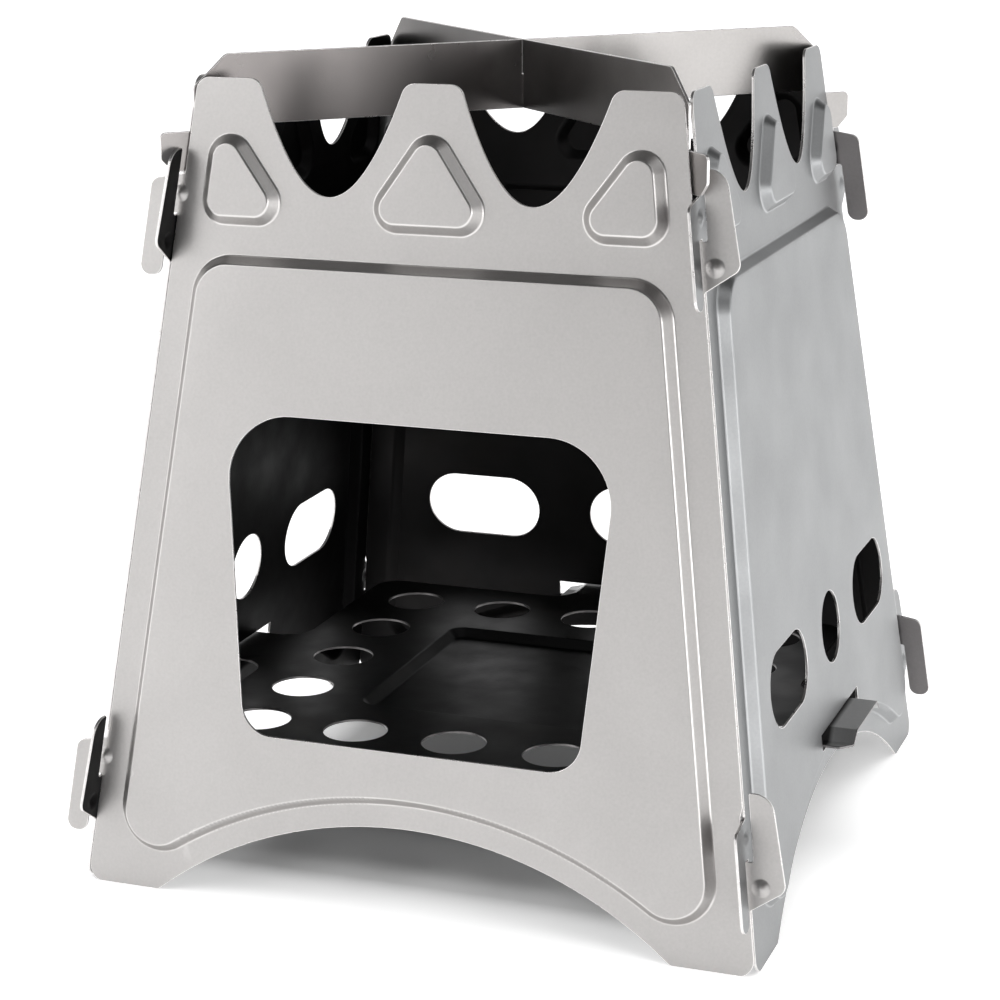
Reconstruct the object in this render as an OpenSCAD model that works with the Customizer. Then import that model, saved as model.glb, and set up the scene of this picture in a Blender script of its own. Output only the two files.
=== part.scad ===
// Flat-pack camping stove. Four leaning sheet walls hook into each other at
// the corners, a perforated base plate hangs on tabs in three of them, and two
// crossed plates on top carry the pot. Every plate is cut and pressed from the
// same sheet. Millimetres, +Z up, the front wall faces -Y, and the origin is
// the middle of the footprint on the ground.

/* [Sheet] */
// Thickness of every plate
sheet = 0.6; // [0.4:0.05:0.8]
// Free space beside a plate that passes a corner, a half slot or another wall's edge
side_clear = 0.15; // [0.1:0.05:0.3]
// Gap under a plate that rests in a slot or on an ear
seat_gap = 0.3; // [0.2:0.05:0.4]
// Rounding of the small inside corners of the cut edges
nick_r = 0.5; // [0.3:0.1:0.8]

/* [Walls] */
// Distance between the outer faces of opposite walls at the ground
foot_span = 150; // [142:1:158]
// Height of the crowns of the walls
crown_h = 171.2; // [168:0.1:176]
// Lean of the walls inward from upright, in degrees
lean = 7.33; // [6.6:0.01:7.9]
// Height of the arch between the feet of a wall, along the wall
arch_h = 20.3; // [17:0.1:21]
// Radius of that arch
arch_r = 90.8; // [86:0.1:96]
// Rounding of the outer toe of each foot
toe_r = 3.5; // [2:0.1:5]
// Rounding of the inner heel of each foot
heel_r = 1.8; // [1:0.1:3]

/* [Crown] */
// Depth of the two notches in the top edge of a wall
notch_depth = 23.3; // [18:0.1:25]
// Width of the outer prongs at the top edge
outer_prong_w = 13.8; // [11:0.1:17]
// Width of the middle prong at the top edge
mid_prong_w = 11.8; // [9:0.1:15]
// Rounding of the tips of the crown
prong_r = 3; // [2:0.1:3.5]

/* [Pressed field] */
// How far the pressed field stands out of the wall
field_rise = 2.5; // [1.5:0.1:3]
// Width of the slope round the pressed field
field_slope = 2.2; // [1.6:0.1:3]
// Distance from the crown down to the top of the pressed field
field_below_crown = 35.8; // [33.2:0.1:41.2]
// Distance from the side of the wall to the pressed field
field_margin = 6.7; // [5:0.1:9]
// Rounding of the corners of the pressed field
field_r = 9; // [6:0.1:11]
// Distance from the arch to the pressed field
field_over_arch = 5; // [4:0.1:6]

/* [Pressed triangles] */
// How far the triangles in the crown stand out of the wall
tri_rise = 2.3; // [1.2:0.1:2.6]
// Width of the slope round the triangles
tri_slope = 2.2; // [1.6:0.1:2.6]
// Rounding of the corners of the triangles
tri_r = 5; // [4:0.1:5.5]
// Depth of the lower corners' centres below the crown
tri_low_drop = 24.7; // [23.2:0.1:26.2]
// Depth of the middle triangle's upper corner centre below the crown
mid_tri_top_drop = 15; // [13.2:0.1:18.2]
// Distance between the middle triangle's lower corner centres
mid_tri_base = 13.6; // [10:0.1:14]
// Depth of the outer triangles' upper corner centre below the crown
side_tri_top_drop = 16.3; // [14.2:0.1:19.2]
// Distance between the outer triangles' lower corner centres
side_tri_base = 7.4; // [5:0.1:9]
// Distance from the side of the wall to the outer triangles
side_tri_margin = 6.2; // [5:0.1:8]

/* [Feed window] */
// Height of the window's upper edge
window_top_z = 103.8; // [96:0.1:112]
// Height of the window's lower edge
window_low_z = 37; // [34:0.1:42]
// Width of the window at its upper edge, before rounding
window_top_w = 85.4; // [76:0.1:92]
// Width of the window at its lower edge, before rounding
window_low_w = 73.6; // [64:0.1:84]
// Rounding of the upper corners of the window
window_top_r = 13.5; // [8:0.1:16]
// Rounding of the lower corners of the window
window_low_r = 7; // [4:0.1:10]

/* [Vents] */
// Height of the middle of the row of vents
vent_z = 49.8; // [46:0.1:70]
// Length of the long vents
vent_len = 30; // [24:0.1:34]
// Width of the long vents
vent_w = 16; // [12:0.1:18]
// Distance of the long vents from the middle of the wall
vent_x = 36.8; // [33:0.1:38]
// Diameter of the round vent in the middle
vent_d = 15.8; // [12:0.1:20]

/* [Ears] */
// Height at which the lower ears cross
low_cross_z = 23.3; // [22:0.1:25]
// Depth below the crown at which the upper ears cross
high_cross_drop = 27.9; // [26.2:0.1:30.2]
// Distance from the corner of the walls to the free leg of an ear
leg_gap = 1.25; // [1.1:0.05:1.5]
// Reach of a hook-up ear past the corner, at its lower end
up_ear_reach = 7.5; // [6.5:0.1:8.5]
// Reach of a hook-up ear past the corner, at its tip
up_ear_tip_reach = 6; // [5.5:0.1:7]
// Height of a hook-up ear's tip above the crossing
up_ear_tip = 13.6; // [12:0.1:15]
// Depth of a hook-up ear's outer corner below the crossing
up_ear_low = 5.2; // [4:0.1:6]
// Depth of a hook-up ear's root below the crossing
up_ear_root = 10; // [9:0.1:11]
// Rounding of a hook-up ear's tip
up_ear_tip_r = 4.2; // [2.5:0.1:4.2]
// Reach of a hook-down ear past the corner
down_ear_reach = 6.2; // [5.5:0.1:7.5]
// Height of a hook-down ear's outer corner above the crossing
down_ear_top = 7; // [6:0.1:8]
// Height of a hook-down ear's root above the crossing
down_ear_root = 8.2; // [8.1:0.1:9]
// Depth of a hook-down ear's tip below the crossing
down_ear_tip = 12.9; // [11:0.1:14]
// Length over which a wall's edge comes out again above the neighbour's ear
edge_step = 2; // [1.5:0.1:3]
// Rounding of the outer corners of the ears
ear_r = 2.2; // [1.5:0.1:2.4]

/* [Lock dimples] */
// Radius of the dimples pressed in the ears
dimple_r = 1.9; // [1.4:0.1:2]
// Height of the dimples
dimple_rise = 0.7; // [0.4:0.1:0.8]
// Distance of a hook-up ear's dimple past the corner
up_dimple_out = 2.4; // [2:0.1:3]
// Depth of a hook-up ear's dimple below the crossing
up_dimple_drop = 5.1; // [4.5:0.1:5.4]
// Distance of a hook-down ear's dimple inside the corner
down_dimple_in = 0.7; // [0.5:0.1:0.9]
// Height of a hook-down ear's dimple above the crossing
down_dimple_lift = 4.2; // [3.5:0.1:5]

/* [Base plate] */
// Height of the top of the base plate
base_top_z = 30.2; // [29:0.1:32]
// Gap between the base plate's edge and the walls
base_gap = 9.5; // [8:0.1:12]
// Rounding of the base plate's corners
base_r = 6; // [3:0.1:9]
// Diameter of the air holes
hole_d = 14; // [11:0.1:16]
// Distance from the edge of the base plate to the centres of the air holes
hole_inset = 15; // [12:0.1:16]
// Number of air holes along one side
holes_per_side = 5; // [4:1:5]
// Depth of the recess in the middle
dish_depth = 2; // [1:0.1:2.5]
// Width of the slope round the recess
dish_slope = 2; // [1.5:0.1:3]
// Distance from the air holes to the recess
dish_gap = 9.5; // [7:0.1:12]
// Rounding of the recess's corners
dish_r = 4; // [3.5:0.1:6]

/* [Base tabs] */
// Width of the flat crown of a tab
tab_crown_w = 20; // [16:0.1:22]
// Width of a tab across its wings
tab_w = 31; // [28:0.1:32]
// Depth of the wings below the crown
tab_drop = 2.3; // [1.8:0.1:2.6]
// Run of the slopes between the crown and the wings
tab_slope = 3; // [2.5:0.1:3.5]
// Reach of a tab past the wall's pressed field
tab_reach = 5.8; // [4.5:0.1:6]
// Size of the cut-off corners of a tab
tab_chamfer = 2.5; // [1.5:0.1:3]
// Rounding where a tab joins the base plate
tab_fillet = 7.5; // [5:0.1:8]
// Spare width of the wall's slot on each side of the tab
slot_side_clear = 1.5; // [1:0.1:1.8]

/* [Cross plates] */
// Height of the top edges that carry the pot above the crown
rest_lift = 4.3; // [3.3:0.1:6.8]
// Depth of a cross plate between its ends
cross_depth = 14.8; // [12:0.1:16]
// Reach of a cross plate's tongue past the corner of the walls
tongue_reach = 4; // [3.6:0.1:5.2]
// Height of the tongue
tongue_h = 8.2; // [6.7:0.1:9.2]
// Size of the cut-off lower corner of the tongue
tongue_chamfer = 2.6; // [2:0.1:3]
// Rounding of the tongue's corners
tongue_r = 1.2; // [0.8:0.1:1.4]
// Distance from the corner of the walls back to the inner side of a leg
leg_back = 5.5; // [4:0.1:8]
// Run of the sloping end of the top edge
end_slope_run = 7.2; // [6:0.1:10]
// Drop of the sloping end of the top edge
end_slope_drop = 6.6; // [5:0.1:8]
// Rounding of the ends of the top edge
end_r = 2.5; // [2:0.1:5]
// Rounding where the lower edge meets a leg
leg_r = 3; // [1:0.1:4]

/* [Hidden] */
// Overrun of every cut past the surface that it goes through
overrun = 1;
// Turn of one step of a rounded corner, in degrees
arc_step = 15;
// Facets of round holes
$fn = 64;
// Points on each half of a notch
notch_steps = 8;
// Half-width of the notch that is drawn before the prong's rounding starts
notch_share = 0.95;

foot_half = foot_span / 2;
// Heights that follow the crown
field_top = crown_h - field_below_crown;
tri_low_z = crown_h - tri_low_drop;
mid_tri_top_z = crown_h - mid_tri_top_drop;
side_tri_top_z = crown_h - side_tri_top_drop;
high_cross_z = crown_h - high_cross_drop;
rest_h = crown_h + rest_lift;
// Sheet thickness along the level
sheet_run = sheet / cos(lean);
// Distances of a wall's edge from the neighbour's outer face: on the right, where
// it laps over the neighbour, on the left, where it stops behind the neighbour,
// and at the crown, where a cross plate passes between them
edge_lap = side_clear;
edge_behind = sheet_run + side_clear;
edge_back = sheet_run + (sheet / 2 + side_clear) * sqrt(2);
// Lean of a wall's side edge within the wall
edge_lean = atan(sin(lean));
// Sides of a notch at the top edge
notch_in = mid_prong_w / 2;
notch_out = half_at(crown_h) - edge_back - outer_prong_w;
// Centre of the arch, below the ground
arch_centre = arch_h - arch_r;
// Heights of the base tab's slot
slot_low_z = base_top_z - sheet - tab_drop - seat_gap;
slot_top_z = base_top_z + seat_gap;
slot_half = tab_w / 2 + slot_side_clear;
// Half the base plate's width, and half the square of holes
base_half = half_at(base_top_z) - sheet_run - base_gap;
ring_half = base_half - hole_inset;
dish_half = ring_half - hole_d / 2 - dish_gap;
tab_end = half_at(slot_low_z) + field_rise / cos(lean) + tab_reach;
// Undersides of the cross plates and of their legs, and the top of the tongues
cross_low_z = rest_h - cross_depth;
leg_low_z = high_cross_z + down_ear_root + seat_gap;
tongue_top_z = leg_low_z + tongue_h;
half_slot_z = (rest_h + cross_low_z) / 2;

// Half the distance between the outer faces at a height
function half_at(z) = foot_half - z * tan(lean);

// Distance up the leaning wall of a height, on its outer face or a raised one
function up_wall(z, out = 0) = (z - out * sin(lean)) / cos(lean);

// A point near the wall's side: past the corner line, at a height, with a fillet
function past(out, z, r = 0) = [half_at(z) + out, up_wall(z), r];

function flip(p) = [-p[0], p[1], p[2]];
function flat(p) = [p[0], p[1]];
function unit(v) = v / norm(v);

// Points of the fillet r at corner b between corners a and c
function fillet(a, b, c) =
    let (
        p = unit(flat(a) - flat(b)),
        q = unit(flat(c) - flat(b)),
        half = acos(p * q) / 2,
        centre = flat(b) + unit(p + q) * b[2] / sin(half),
        start = flat(b) + p * b[2] / tan(half) - centre,
        sweep = 180 - 2 * half,
        way = p[0] * q[1] - p[1] * q[0] < 0 ? 1 : -1,
        steps = ceil(sweep / arc_step),
        first = atan2(start[1], start[0])
    )
    [for (i = [0:steps])
        let (turn = first + way * sweep * i / steps)
        centre + b[2] * [cos(turn), sin(turn)]];

// Outline with each corner [x, y, r] rounded
function rounded(corners) =
    let (n = len(corners))
    [for (i = [0:n - 1])
        each (corners[i][2] > 0
            ? fillet(corners[(i + n - 1) % n], corners[i], corners[(i + 1) % n])
            : [flat(corners[i])])];

// Points of an arc [centre x, centre y, radius, first angle, last angle, side]
// drawn inset; side is 1 where the arc bulges out and -1 where it is hollow
function arc(a, inset, inner = 0) =
    let (steps = max(2, ceil(abs(a[4] - a[3]) / arc_step * (a[5] < 0 ? 4 : 1))))
    [for (i = [inner:steps - inner])
        let (turn = a[3] + (a[4] - a[3]) * i / steps)
        [a[0] + (a[2] - a[5] * inset) * cos(turn), a[1] + (a[2] - a[5] * inset) * sin(turn)]];

function outline(arcs, inset) = [for (a = arcs) each arc(a, inset, a[5] < 0 ? 1 : 0)];

// Angle that the outside of the side from p to q faces, when the form is
// drawn anticlockwise
function facing(p, q) = atan2(p[0] - q[0], q[1] - p[1]);
function after(angle, first) = angle < first ? after(angle + 360, first) : angle;

// Arcs of a form whose rounded corners, all of radius r, have these centres
function corner_arcs(centres, r) =
    let (n = len(centres))
    [for (i = [0:n - 1])
        let (
            first = facing(centres[(i + n - 1) % n], centres[i]),
            last = facing(centres[i], centres[(i + 1) % n])
        )
        [centres[i][0], centres[i][1], r, first, after(last, first), 1]];

// Faces that fill an outline, each a fan from its first point. Where the last
// arc is hollow, the two halves are fanned from the upper corners
function fans(arcs) =
    let (
        count = len(outline(arcs, 0)),
        last_arc = arcs[len(arcs) - 1],
        corner = len(outline([arcs[0], arcs[1]], 0)) - 1,
        middle = count - ceil(len(outline([last_arc], 0)) / 2)
    )
    last_arc[5] > 0
        ? [[for (i = [0:count - 1]) i]]
        : [
            concat([corner], [for (i = [middle:count - 1]) i], [for (i = [0:corner - 1]) i]),
            [for (i = [corner + 1:middle]) i],
            [corner, corner + 1, middle]
        ];

// Closed solid between an outline's inset copies at two levels
module loft(arcs, low, high, low_inset, high_inset) {
    bottom = outline(arcs, low_inset);
    top = outline(arcs, high_inset);
    n = len(bottom);
    caps = fans(arcs);
    polyhedron(
        points = concat([for (p = bottom) [p[0], p[1], low]], [for (p = top) [p[0], p[1], high]]),
        faces = concat(
            caps,
            [for (f = caps) concat([n + f[0]], [for (i = [len(f) - 1:-1:1]) n + f[i]])],
            [for (i = [0:n - 1]) [i, n + i, n + (i + 1) % n, (i + 1) % n]]
        )
    );
}

// Outer skin of a form pressed up out of a sheet whose top face is level 0
module pressed_out(arcs, rise, slope) {
    loft(arcs, -sheet / 2, rise, -slope * sheet / 2 / rise, slope);
}

// Hollow under that form, which leaves the sheet's thickness
module pressed_in(arcs, rise, slope) {
    skin = sheet * norm([slope, rise]) / slope;
    low = -sheet - overrun;
    high = rise - sheet;
    loft(arcs, low, high, slope * (low + skin) / rise, slope * (high + skin) / rise);
}

// Ball whose cap makes a lock dimple, and its hollow one sheet lower
module dimple_ball(drop) {
    ball_r = (dimple_r * dimple_r + dimple_rise * dimple_rise) / (2 * dimple_rise);
    translate([0, 0, dimple_rise - ball_r - drop]) sphere(ball_r);
}

// Points of a notch from its outer side to its inner one
function notch() =
    [for (i = [notch_steps:-1:-notch_steps])
        let (share = i / notch_steps * notch_share)
        [
            (notch_out + notch_in + share * (notch_out - notch_in)) / 2,
            up_wall(crown_h) - notch_depth * (1 - share * share),
            0
        ]];

// Crown of a wall from the right side to the middle line
function right_crown() = concat(
    [past(-edge_back, crown_h, prong_r), [notch_out, up_wall(crown_h), prong_r]],
    notch(),
    [[notch_in, up_wall(crown_h), prong_r]]
);

// Hook-up ear of the right side, from its root up. Above it the edge is set back
function up_ear(cross, above) = [
    past(-edge_lap, cross - up_ear_root, nick_r),
    past(up_ear_reach, cross - up_ear_low, ear_r),
    past(up_ear_tip_reach, cross + up_ear_tip, up_ear_tip_r),
    past(leg_gap, cross + up_ear_tip, nick_r),
    past(leg_gap, cross - seat_gap / 2, nick_r),
    past(-above, cross - seat_gap / 2, nick_r / 2)
];

// Where the right edge comes out again above the neighbour's ear
function step_out(cross) = [
    past(-edge_behind, cross + down_ear_root + seat_gap, nick_r),
    past(-edge_lap, cross + down_ear_root + seat_gap + edge_step, nick_r)
];

// Hook-down ear, drawn on the right side from its tip's side up
function down_ear(cross, above) = [
    past(-edge_behind, cross + seat_gap / 2, nick_r / 2),
    past(leg_gap, cross + seat_gap / 2, nick_r),
    past(leg_gap, cross - down_ear_tip, ear_r),
    past(down_ear_reach, cross - down_ear_tip, ear_r),
    past(down_ear_reach, cross + down_ear_top, ear_r),
    past(-above, cross + down_ear_root, nick_r)
];

function backwards(list) = [for (i = [len(list) - 1:-1:0]) list[i]];
function mirrored(list) = [for (p = backwards(list)) flip(p)];

// The foot reaches just below the ground, where it is cut level
foot_spare = sheet / 2;
function arch_x(y) = sqrt(arch_r * arch_r - (y - arch_centre) * (y - arch_centre));
arch_steps = 16;
arch_angle = acos((toe_r - arch_centre) / arch_r);
function arch_points() =
    [for (i = [-arch_steps:arch_steps])
        let (turn = arch_angle * i / arch_steps)
        [arch_r * sin(turn), arch_centre + arch_r * cos(turn), 0]];

function wall_outline() = rounded(concat(
    [[half_at(-foot_spare) - edge_lap, -foot_spare, toe_r]],
    up_ear(low_cross_z, edge_behind),
    step_out(low_cross_z),
    up_ear(high_cross_z, edge_back),
    right_crown(),
    mirrored(right_crown()),
    mirrored(down_ear(high_cross_z, edge_back)),
    mirrored(down_ear(low_cross_z, edge_behind)),
    [[edge_behind - half_at(-foot_spare), -foot_spare, toe_r]],
    [[-arch_x(-foot_spare), -foot_spare, heel_r]],
    arch_points(),
    [[arch_x(-foot_spare), -foot_spare, heel_r]]
));

// Arcs of the pressed field: sides parallel to the wall's sides, and a lower
// edge that runs round the arch
field_arch_r = arch_r + field_over_arch;
field_side = foot_half - field_margin - field_r / cos(edge_lean);
corner_far = field_arch_r + field_r;
edge_fall = sin(lean);
corner_sum = field_side * edge_fall + arch_centre;
corner_y = (corner_sum + sqrt(corner_sum * corner_sum - (1 + edge_fall * edge_fall)
    * (field_side * field_side + arch_centre * arch_centre - corner_far * corner_far)))
    / (1 + edge_fall * edge_fall);
corner_x = field_side - edge_fall * corner_y;
field_top_y = up_wall(field_top) - field_r;
field_top_x = field_side - edge_fall * field_top_y;
corner_turn = atan2(corner_y - arch_centre, corner_x);
field_arcs = [
    [corner_x, corner_y, field_r, corner_turn - 180, edge_lean, 1],
    [field_top_x, field_top_y, field_r, edge_lean, 90, 1],
    [-field_top_x, field_top_y, field_r, 90, 180 - edge_lean, 1],
    [-corner_x, corner_y, field_r, 180 - edge_lean, 360 - corner_turn, 1],
    [0, arch_centre, field_arch_r, 180 - corner_turn, corner_turn, -1]
];

mid_tri_arcs = corner_arcs([
    [-mid_tri_base / 2, up_wall(tri_low_z)],
    [mid_tri_base / 2, up_wall(tri_low_z)],
    [0, up_wall(mid_tri_top_z)]
], tri_r);

function side_tri_x(z) = half_at(z) - side_tri_margin - tri_r;
side_tri_arcs = corner_arcs([
    [side_tri_x(tri_low_z) - side_tri_base, up_wall(tri_low_z)],
    [side_tri_x(tri_low_z), up_wall(tri_low_z)],
    [side_tri_x(side_tri_top_z), up_wall(side_tri_top_z)]
], tri_r);

module crown_triangles() {
    children(0);
    children(1);
    mirror([1, 0, 0]) children(1);
}

// Runs its child at the four lock dimples of a wall
module at_dimples() {
    for (cross = [low_cross_z, high_cross_z]) {
        up = past(up_dimple_out, cross - up_dimple_drop);
        down = past(-down_dimple_in, cross + down_dimple_lift);
        translate([up[0], up[1], 0]) children();
        translate([-down[0], down[1], 0]) children();
    }
}

// A wall in its own plane: X across, Y up along the sheet, Z out
module flat_wall() {
    difference() {
        union() {
            translate([0, 0, -sheet]) linear_extrude(sheet) polygon(wall_outline());
            pressed_out(field_arcs, field_rise, field_slope);
            crown_triangles() {
                pressed_out(mid_tri_arcs, tri_rise, tri_slope);
                pressed_out(side_tri_arcs, tri_rise, tri_slope);
            }
            at_dimples() intersection() {
                dimple_ball(0);
                translate([-dimple_r, -dimple_r, -sheet / 2])
                    cube([2 * dimple_r, 2 * dimple_r, sheet + dimple_rise]);
            }
        }
        pressed_in(field_arcs, field_rise, field_slope);
        crown_triangles() {
            pressed_in(mid_tri_arcs, tri_rise, tri_slope);
            pressed_in(side_tri_arcs, tri_rise, tri_slope);
        }
        at_dimples() dimple_ball(sheet);
    }
}

// Cuts its child's flat shape through the wall and its pressed field
module through_wall() {
    translate([0, 0, -sheet - overrun])
        linear_extrude(sheet + field_rise + 2 * overrun) children();
}

// Stands a wall up at its place, turned about the stove's middle, and cuts its
// feet level with the ground
module standing_wall(turn) {
    difference() {
        rotate([0, 0, turn]) translate([0, -foot_half, 0]) rotate([90 - lean, 0, 0]) difference() {
            flat_wall();
            through_wall() children();
        }
        translate([-foot_span, -foot_span, -foot_span]) cube([2 * foot_span, 2 * foot_span, foot_span]);
    }
}

module feed_window() {
    polygon(rounded([
        [window_low_w / 2, up_wall(window_low_z, field_rise), window_low_r],
        [window_top_w / 2, up_wall(window_top_z, field_rise), window_top_r],
        [-window_top_w / 2, up_wall(window_top_z, field_rise), window_top_r],
        [-window_low_w / 2, up_wall(window_low_z, field_rise), window_low_r]
    ]));
}

module long_vent() {
    bend = (vent_len - vent_w) / 2;
    for (x = [-bend, bend]) translate([x, 0]) circle(d = vent_w);
    square([2 * bend, vent_w], center = true);
}

module vents_and_slot() {
    translate([0, up_wall(vent_z, field_rise)]) {
        circle(d = vent_d);
        for (x = [-vent_x, vent_x]) translate([x, 0]) long_vent();
    }
    slot_y = up_wall(slot_low_z, field_rise);
    translate([-slot_half, slot_y]) square([2 * slot_half, up_wall(slot_top_z, field_rise) - slot_y]);
}

module front_wall() {
    color([0.78, 0.76, 0.75]) standing_wall(0) feed_window();
}

module right_wall() {
    color([0.70, 0.71, 0.71]) standing_wall(90) vents_and_slot();
}

module back_wall() {
    color([0.66, 0.66, 0.67]) standing_wall(180) vents_and_slot();
}

module left_wall() {
    color([0.72, 0.71, 0.71]) standing_wall(270) vents_and_slot();
}

// Runs its child for each tab, to the right, back and left of the base plate
module at_tabs() {
    for (turn = [0, 90, 180]) rotate([0, 0, turn]) children();
}

// Neck of a tab with the hollow fillets that join it to the base plate
module tab_neck() {
    half = tab_crown_w / 2;
    difference() {
        translate([base_half - dish_r, -half - tab_fillet])
            square([dish_r + tab_fillet, 2 * (half + tab_fillet)]);
        for (side = [-1, 1])
            translate([base_half + tab_fillet, side * (half + tab_fillet)]) circle(tab_fillet);
    }
}

// Tab seen from above, with its cut-off corners
module tab_plan() {
    start = base_half + tab_fillet - nick_r;
    half = tab_w / 2;
    polygon([
        [start, -half],
        [tab_end - tab_chamfer, -half],
        [tab_end, tab_chamfer - half],
        [tab_end, half - tab_chamfer],
        [tab_end - tab_chamfer, half],
        [start, half]
    ]);
}

// Tab seen from its end: a flat crown, a slope down each side and two wings
function tab_side(level) = [
    [tab_crown_w / 2, level],
    [tab_crown_w / 2 + tab_slope, level - tab_drop],
    [tab_w / 2 + overrun, level - tab_drop]
];

module tab_section() {
    upper = tab_side(base_top_z);
    lower = tab_side(base_top_z - sheet);
    polygon(concat(
        [for (p = backwards(upper)) [-p[0], p[1]]],
        upper,
        backwards(lower),
        [for (p = lower) [-p[0], p[1]]]
    ));
}

module tab() {
    intersection() {
        translate([0, 0, base_top_z - sheet - tab_drop - overrun])
            linear_extrude(sheet + tab_drop + 2 * overrun) tab_plan();
        translate([base_half, 0, 0]) rotate([90, 0, 90]) linear_extrude(tab_end) tab_section();
    }
}

dish_arcs = corner_arcs([
    [-dish_half + dish_r, -dish_half + dish_r],
    [dish_half - dish_r, -dish_half + dish_r],
    [dish_half - dish_r, dish_half - dish_r],
    [-dish_half + dish_r, dish_half - dish_r]
], dish_r);

module base_outline() {
    polygon(rounded([
        [base_half, -base_half, base_r],
        [base_half, base_half, base_r],
        [-base_half, base_half, base_r],
        [-base_half, -base_half, base_r]
    ]));
    at_tabs() tab_neck();
}

// Air holes in a square ring, each corner hole belonging to one side only
module air_holes() {
    pitch = 2 * ring_half / (holes_per_side - 1);
    for (side = [0:3]) rotate([0, 0, 90 * side]) for (i = [1:holes_per_side - 1])
        translate([-ring_half + i * pitch, -ring_half, base_top_z - sheet - overrun])
            cylinder(d = hole_d, h = sheet + 2 * overrun);
}

module base_plate() {
    color([0.62, 0.61, 0.61]) difference() {
        union() {
            translate([0, 0, base_top_z - sheet]) linear_extrude(sheet) base_outline();
            at_tabs() tab();
            translate([0, 0, base_top_z - sheet]) mirror([0, 0, 1])
                pressed_out(dish_arcs, dish_depth, dish_slope);
        }
        air_holes();
        translate([0, 0, base_top_z - sheet]) mirror([0, 0, 1])
            pressed_in(dish_arcs, dish_depth, dish_slope);
    }
}

// Right half of a cross plate, from the bottom middle round to the top middle.
// Its tongue passes out through the corner of the walls, and its leg rests on
// the hook-down ear there
function corner_at(z) = half_at(z) * sqrt(2);

function cross_half() = [
    [corner_at(leg_low_z) - leg_back, cross_low_z, leg_r],
    [corner_at(leg_low_z) - leg_back, leg_low_z, nick_r],
    [corner_at(leg_low_z) + tongue_reach - tongue_chamfer, leg_low_z, tongue_r],
    [corner_at(leg_low_z) + tongue_reach, leg_low_z + tongue_chamfer, tongue_r],
    [corner_at(leg_low_z) + tongue_reach, tongue_top_z, tongue_r],
    [corner_at(crown_h), tongue_top_z, nick_r],
    [corner_at(crown_h), rest_h - end_slope_drop, end_r / 2],
    [corner_at(crown_h) - end_slope_run, rest_h, end_r]
];

module cross_plate(turn) {
    rotate([0, 0, turn]) rotate([90, 0, 0]) translate([0, 0, -sheet / 2])
        linear_extrude(sheet) difference() {
            polygon(rounded(concat(cross_half(), mirrored(cross_half()))));
            children();
        }
}

module half_slot() {
    width = sheet + 2 * side_clear;
    height = cross_depth / 2 + seat_gap / 2 + overrun;
    translate([-width / 2, 0]) square([width, height]);
}

module lower_cross_plate() {
    color([0.45, 0.43, 0.42]) cross_plate(45)
        translate([0, half_slot_z - seat_gap / 2]) half_slot();
}

module upper_cross_plate() {
    color([0.42, 0.41, 0.42]) cross_plate(-45)
        translate([0, cross_low_z - overrun]) half_slot();
}

front_wall();
right_wall();
back_wall();
left_wall();
base_plate();
lower_cross_plate();
upper_cross_plate();
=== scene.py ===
# %% [markdown]
# # A flat-pack camping stove in sheet titanium
#
# The real stove is seven plates cut and pressed from thin sheet: four leaning
# walls that hook into each other at the corners, a perforated base plate on three
# tabs, and two crossed plates that carry the pot. Each plate is made here as a
# real one is: its outline is cut, its forms are pressed, and it is stood in its
# place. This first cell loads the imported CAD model, which fixes where every plate
# goes and how it moves.

# %% Load the frame
import math

import bpy
import numpy as np
from mathutils import Matrix, Vector
from mathutils.geometry import delaunay_2d_cdt


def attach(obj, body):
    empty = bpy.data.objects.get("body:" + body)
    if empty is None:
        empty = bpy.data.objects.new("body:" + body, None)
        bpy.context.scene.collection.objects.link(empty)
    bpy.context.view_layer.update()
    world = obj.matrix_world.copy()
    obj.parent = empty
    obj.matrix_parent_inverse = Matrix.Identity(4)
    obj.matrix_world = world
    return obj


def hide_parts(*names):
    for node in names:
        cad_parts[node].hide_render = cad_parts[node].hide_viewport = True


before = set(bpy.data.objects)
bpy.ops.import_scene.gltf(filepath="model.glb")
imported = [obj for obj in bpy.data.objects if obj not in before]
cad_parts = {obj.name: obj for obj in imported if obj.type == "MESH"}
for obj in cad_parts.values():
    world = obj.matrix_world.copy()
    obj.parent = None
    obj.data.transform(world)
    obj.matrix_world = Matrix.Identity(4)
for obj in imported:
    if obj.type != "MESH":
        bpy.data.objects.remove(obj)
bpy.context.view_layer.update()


# %% [markdown]
# ## The sizes
#
# A sheet-metal worker starts from a drawing in millimetres. Every shape below
# follows from these sizes, so a plate that is changed here still fits its
# neighbours. Metres come in only when a finished plate is put into Blender.

# %% Sizes in millimetres
MM = 0.001
SHEET = 0.6
LEAN = math.radians(7.33)
FOOT_HALF = 75.0
CROWN_H = 171.2
SIDE_CLEAR = 0.15
SEAT_GAP = 0.3
NICK_R, SLOT_R = 0.5, 0.2

ARCH_H, ARCH_R = 20.3, 90.8
TOE_R, HEEL_R = 3.5, 1.8
NOTCH_DEPTH, OUTER_PRONG_W, MID_PRONG_W, PRONG_R = 23.3, 13.8, 11.8, 3.0

FIELD_RISE, FIELD_SLOPE = 2.5, 1.8
FIELD_TOP, FIELD_MARGIN, FIELD_R, FIELD_OVER_ARCH = 135.4, 6.7, 9.0, 5.0
TRI_RISE, TRI_SLOPE, TRI_R, TRI_LOW_Z = 2.3, 1.9, 5.0, 146.5
MID_TRI_TOP_Z, MID_TRI_BASE = 156.2, 13.6
SIDE_TRI_TOP_Z, SIDE_TRI_BASE, SIDE_TRI_MARGIN = 154.9, 7.4, 6.2

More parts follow.
